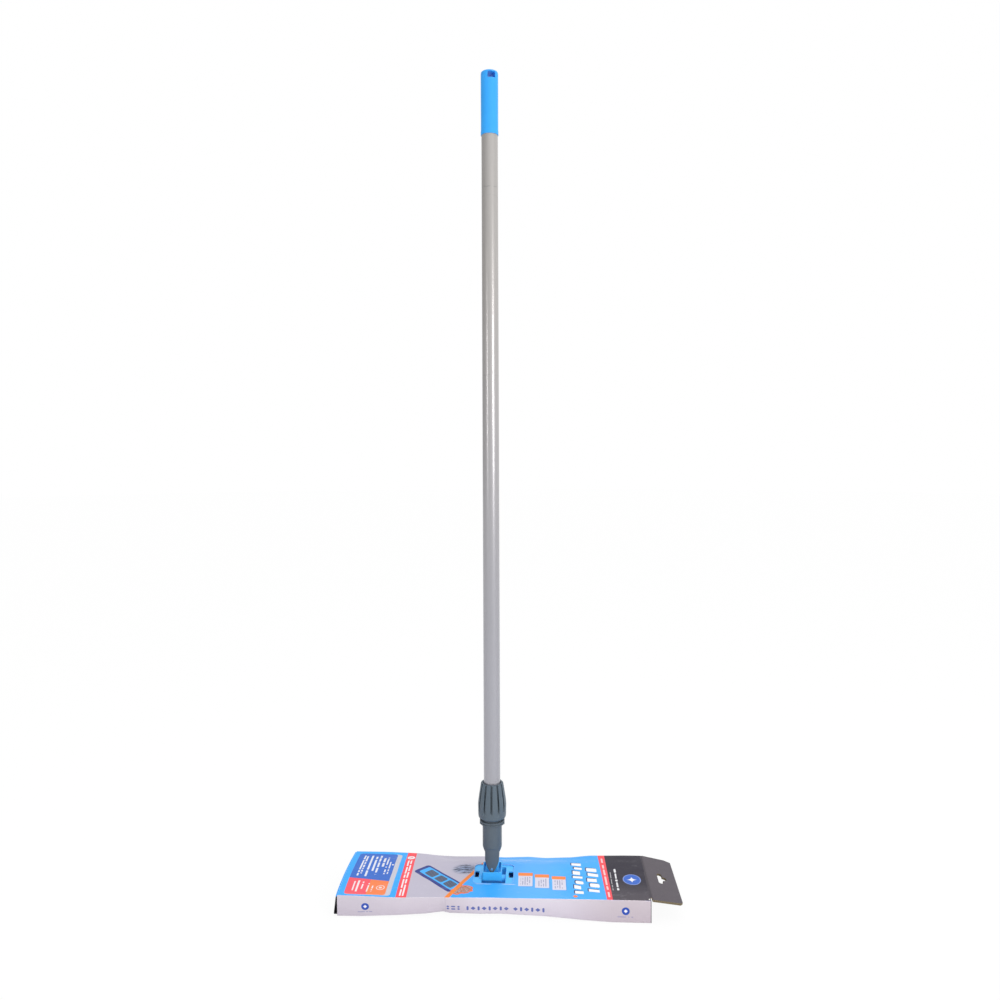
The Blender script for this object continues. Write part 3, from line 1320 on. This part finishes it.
# ---------------------------------------------------------------- edge tape and its stitches
TAPE_HALF_X, TAPE_HALF_Y, TAPE_RADIUS = 207.6, 59.6, 13.0
TAPE_Z = 9.5
TAPE_SECTION = [    # soft C section: distance out from the outline, height over TAPE_Z
    (-5.4, 1.45), (-3.0, 1.60), (-1.0, 1.5), (0.0, 0.85), (0.2, 0.0), (0.0, -0.85),
    (-1.0, -1.45), (-3.2, -1.4), (-5.0, -1.2), (-5.4, -0.6), (-4.4, 0.0), (-5.4, 0.6)]
# one thread loop: distance along the tape, height
STITCH_PATH = ((-1.35, -0.12), (-0.7, 0.2), (0.0, 0.28), (0.7, 0.2), (1.35, -0.12))
THREAD_RADIUS = 0.22


def pad_outline():
    """(x, y, outward x, outward y) round the pad's edge, counter-clockwise from the right."""
    end_x, end_y = TAPE_HALF_X, TAPE_HALF_Y
    in_x, in_y = end_x - TAPE_RADIUS, end_y - TAPE_RADIUS
    sides = (   # corner centre, its first angle, run from, run to, outward normal, steps
        ((in_x, in_y), 0, (in_x, end_y), (-in_x, end_y), (0, 1), 90),
        ((-in_x, in_y), 90, (-end_x, in_y), (-end_x, -in_y), (-1, 0), 24),
        ((-in_x, -in_y), 180, (-in_x, -end_y), (in_x, -end_y), (0, -1), 90),
        ((in_x, -in_y), 270, (end_x, -in_y), (end_x, in_y), (1, 0), 24))
    outline = []
    for centre, first, start, end, normal, steps in sides:
        for i in range(8):
            angle = math.radians(first + 90 * i / 8)
            out_x, out_y = math.cos(angle), math.sin(angle)
            outline.append((centre[0] + TAPE_RADIUS * out_x, centre[1] + TAPE_RADIUS * out_y,
                            out_x, out_y))
        for i in range(steps):
            t = i / steps
            outline.append((start[0] + (end[0] - start[0]) * t,
                            start[1] + (end[1] - start[1]) * t, *normal))
    return outline


def build_tape(outline, mat):
    verts, rest, faces = [], [], []
    for i, (x, y, out_x, out_y) in enumerate(outline):
        pucker = 0.12 * math.sin(i * 2.4)
        for out, up in TAPE_SECTION:
            tape_x, tape_y = PAD_X + x + out_x * out, y + out_y * out
            z = TAPE_Z + up * (1 + pucker)
            push, curl = pad_push(tape_x, tape_y)
            verts.append((tape_x, tape_y + push, z + 0.35 * curl))
            rest.append((tape_x, tape_y, z))
    around, across = len(outline), len(TAPE_SECTION)
    for i in range(around):
        here, following = i * across, ((i + 1) % around) * across
        for k in range(across):
            beside = (k + 1) % across
            faces.append((here + k, here + beside, following + beside, following + k))
    o = to_object("pad_binding_tape", verts, faces, rest, [mat])

    def is_out(centre, normal):
        if abs(centre.x) > 0.2 or abs(centre.y) > 0.058:
            return normal.x * centre.x + normal.y * centre.y > 0
        return normal.z > 0
    outward(o, is_out)
    return o


def build_stitches(outline, mat):
    """Short five-sided thread loops along the tape."""
    verts, rest, faces = [], [], []
    for x, y, out_x, out_y in outline:
        seam_x, seam_y = PAD_X + x - out_x * 3.2, y - out_y * 3.2
        push, curl = pad_push(seam_x, seam_y)
        seam_z = 11.05 + 0.35 * curl
        first = len(verts)
        for along, up in STITCH_PATH:
            for c in range(5):
                angle = 2 * math.pi * c / 5
                out = THREAD_RADIUS * math.cos(angle)
                verts.append((seam_x - out_y * along + out_x * out,
                              seam_y + push + out_x * along + out_y * out,
                              seam_z + up + THREAD_RADIUS * math.sin(angle)))
                rest.append((seam_x + along, seam_y, seam_z))
        for s in range(4):
            a, b = first + s * 5, first + (s + 1) * 5
            for c in range(5):
                d = (c + 1) % 5
                faces.append((a + c, a + d, b + d, b + c))
        faces.append(tuple(first + c for c in reversed(range(5))))
        faces.append(tuple(first + 20 + c for c in range(5)))
    return to_object("pad_stitches", verts, faces, rest, [mat])


outline = pad_outline()
tape = build_tape(outline, fabric("binding_tape", (0.45, 0.46, 0.48), (0.62, 0.63, 0.65), "rib",
                                  pitch=1.3, depth=0.15))
attach(tape, "head", replaces="pad_binding")
stitches = build_stitches(outline, fabric("thread", (0.62, 0.63, 0.66), (0.82, 0.83, 0.86), "rib",
                                          pitch=0.35, depth=0.05))
attach(stitches, "head")

# ---------------------------------------------------------------- hook tape
STRIP_Y, STRIP_HALF, STRIP_THICK = 34.0, 10.0, 0.5
# corners 0-3 are the bottom ring and 4-7 the top ring; the first face is the bottom
BLOCK_FACES = ((3, 2, 1, 0), (4, 5, 6, 7), (0, 1, 5, 4), (1, 2, 6, 5), (2, 3, 7, 6), (3, 0, 4, 7))


def build_hook_tape():
    """Two strips with rows of small moulded hooks."""
    low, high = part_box("hook_strips")
    x0, x1 = low.x / MM, high.x / MM
    z0, z1 = low.z / MM, high.z / MM
    root_z, tip_z = z0 + STRIP_THICK, z1 - 0.02
    verts, faces = [], []

    def block(corners, block_faces):
        base = len(verts)
        verts.extend(corners)
        faces.extend(tuple(base + k for k in face) for face in block_faces)

    for side in (-1, 1):
        mid_y = side * STRIP_Y
        front, back = mid_y - STRIP_HALF, mid_y + STRIP_HALF
        plan = ((x0, front), (x1, front), (x1, back), (x0, back))
        block([(x, y, z) for z in (z0, root_z) for x, y in plan], BLOCK_FACES)
        count = int((x1 - x0 - 4) / 3.4)
        for i in range(count + 1):
            x = x0 + 2 + (x1 - x0 - 4) * i / count
            for j in range(6):
                y = mid_y - 8.2 + 16.4 * j / 5
                hook = ((x - 0.45, y - 0.35, root_z), (x + 0.45, y - 0.35, root_z),
                        (x + 0.45, y + 0.35, root_z), (x - 0.45, y + 0.35, root_z),
                        (x - 0.1, y - 0.25, tip_z - 0.25), (x + 0.5, y - 0.25, tip_z),
                        (x + 0.5, y + 0.25, tip_z), (x - 0.1, y + 0.25, tip_z - 0.25))
                block(hook, BLOCK_FACES[1:])
    return to_object("hook_tape_strips", verts, faces, verts, [hook_material()],
                     smooth_faces=False)


attach(build_hook_tape(), "head", replaces="hook_strips")

# ---------------------------------------------------------------- materials on the CAD pieces
swivel_blue = plastic("blue_moulded_swivel", (0.050, 0.455, 0.95), (0.072, 0.505, 0.98),
                      edge_colour=(0.28, 0.66, 0.98), rough=0.34, edge_width=0.6)
cad_mats = {
    "swivel_bracket": swivel_blue,
    "swivel_knuckle": swivel_blue,
    "hanging_grip": plastic(
        "grip_blue", (0.022, 0.322, 0.82), (0.030, 0.360, 0.88), edge_colour=(0.10, 0.50, 0.95),
        rough=0.42, grain=1.6, grain_depth=0.10, edge_width=0.7, spec=0.40),
    "clamp_collar": plastic(
        "slate_moulded", (0.072, 0.101, 0.130), (0.092, 0.125, 0.157),
        edge_colour=(0.20, 0.25, 0.30), rough=0.44, spec=0.40, streak=(0.15, 0.19, 0.23),
        dirt=groove_dirt),
    "clamp_socket": plastic(
        "slate_moulded_socket", (0.076, 0.100, 0.124), (0.094, 0.121, 0.148),
        edge_colour=(0.19, 0.24, 0.29), rough=0.42, spec=0.40, streak=(0.15, 0.18, 0.22),
        line_pitch=1.1, dirt=thread_dirt),
    "grip_ring": plastic(
        "ring_acetal", (0.50, 0.50, 0.47), (0.62, 0.62, 0.59), edge_colour=(0.8, 0.8, 0.78),
        rough=0.36, edge_width=0.3, subsurface=0.05),
    "pole_end_plug": plastic(
        "plug_grey", (0.16, 0.17, 0.18), (0.21, 0.22, 0.24), edge_colour=(0.34, 0.35, 0.37),
        rough=0.5, edge_width=0.4),
    "frame_plate": plastic(
        "frame_white", (0.56, 0.57, 0.59), (0.68, 0.69, 0.71), edge_colour=(0.82, 0.83, 0.85),
        rough=0.42),
    "pole_tube": lacquered_tube(),
    "bracket_screws": steel("screw_zinc", (0.50, 0.50, 0.52), rough=0.32),
    "pitch_pin": steel("pin_steel_bright", (0.60, 0.60, 0.61), rough=0.25),
    "roll_pin": steel("roll_pin_steel", (0.60, 0.60, 0.61), rough=0.25),
    "pin_clips": steel("clip_spring_steel", (0.32, 0.33, 0.36), rough=0.3),
    "hang_tab_face_ply": tab_mat,
    "hang_tab_back_ply": card_dark("card_tab_back", base=(0.10, 0.088, 0.10), cut_edges=True),
}
for name, mat in cad_mats.items():
    slots = NODES[name].data.materials
    if slots:
        for i in range(len(slots)):
            slots[i] = mat
    else:
        slots.append(mat)

# ---------------------------------------------------------------- studio (metres from here on)
FLOOR_RADIUS = 14.0
FLOOR_GAP = 0.0004      # the floor lies this far under the product


def build_world():
    """The camera sees plain white; the product is lit by a room that is dimmer on the left."""
    world = bpy.data.worlds.new("studio")
    bpy.context.scene.world = world
    world.use_nodes = True
    graph = Graph(world.node_tree)
    x, _, z = graph.node("TexCoord", output="Generated").xyz()
    sideways = x.rise(-0.95, 0.15, low=0.42, high=0.90)
    upward = z.rise(0.30, 0.90, low=1.0, high=1.45)
    strength = graph.node("Mix", {0: graph.camera_ray(), 2: sideways * upward, 3: 1.0})
    background = graph.tree.nodes["Background"]
    graph.put(background.inputs[0], (1.0, 1.0, 1.0))
    graph.put(background.inputs[1], strength)


def floor_material():
    """Over-lit like a white studio sweep: the camera sees it nearly shadowless."""
    mat = Material("floor_pale")
    mat.colour = mat.mix(mat.object_mm.noise(0.004), (0.93, 0.93, 0.93), (0.95, 0.95, 0.95))
    lit = mat.principled(0.7, spec=0.1)
    glow = mat.node("Emission", {"Strength": 1.0})
    mat.put(mat.surface, mat.node("MixShader", {0: mat.camera_ray() * 0.94, 1: lit, 2: glow}))
    return mat.mat


def build_floor():
    bm = bmesh.new()
    angles = [2 * math.pi * i / 48 for i in range(48)]
    bm.faces.new([bm.verts.new((FLOOR_RADIUS * math.cos(angle), FLOOR_RADIUS * math.sin(angle),
                                cad_lo.z - FLOOR_GAP)) for angle in angles])
    return from_bmesh("floor", bm, floor_material())


def softbox(name, location, target, size, energy):
    light = bpy.data.lights.new(name, "AREA")
    light.shape = "RECTANGLE"
    light.size, light.size_y = size
    light.energy = energy
    o = link_object(name, light)
    o.location = location
    o.rotation_mode = "QUATERNION"
    o.rotation_quaternion = (Vector(target) - Vector(location)).to_track_quat("-Z", "Y")


def around(degrees):
    """A side light's place, turned round the pole from the front, positive to the right."""
    angle = math.atan2(-1.34770, 0.07220) + math.radians(degrees)
    return 1.7 * math.cos(angle), 1.7 * math.sin(angle), 0.86


def build_camera():
    data = bpy.data.cameras.new("camera")
    camera = link_object("camera", data)
    bpy.context.scene.camera = camera
    data.sensor_width = 36.0
    data.lens = 30.103
    data.clip_start, data.clip_end = 0.05, 100
    # the lens is shifted down, so that the camera stays near level and the pole's sides
    # stay parallel
    data.shift_x = -0.00121
    data.shift_y = -0.045
    # angles in radians: turned to the left, rolled, tilted down
    yaw, roll, tilt = 0.04273, -0.00378, math.radians(0.086)
    right = Vector((math.cos(yaw), math.sin(yaw), 0))
    forward = Vector((-math.sin(yaw), math.cos(yaw), 0))
    up = Vector((0, 0, 1))
    rolled_right = right * math.cos(roll) + up * math.sin(roll)
    rolled_up = -right * math.sin(roll) + up * math.cos(roll)
    view = forward * math.cos(tilt) - rolled_up * math.sin(tilt)
    view_up = rolled_up * math.cos(tilt) + forward * math.sin(tilt)
    camera.rotation_mode = "QUATERNION"
    camera.location = (0.06720, -1.21718, 0.64429)
    camera.rotation_quaternion = Matrix((rolled_right, view_up, -view)).transposed().to_quaternion()


build_world()
build_floor()
pole_middle = (0, 0, 0.74)
softbox("key_right", around(38), pole_middle, size=(0.30, 0.50), energy=7.5)
softbox("fill_left", around(-46), pole_middle, size=(0.12, 0.45), energy=2.4)
softbox("overhead", (0.4, -0.4, 2.3), (0, 0, 0.1), size=(1.6, 1.2), energy=7.0)
build_camera()
bpy.context.scene.view_settings.view_transform = "Standard"
bpy.context.scene.view_settings.look = "None"
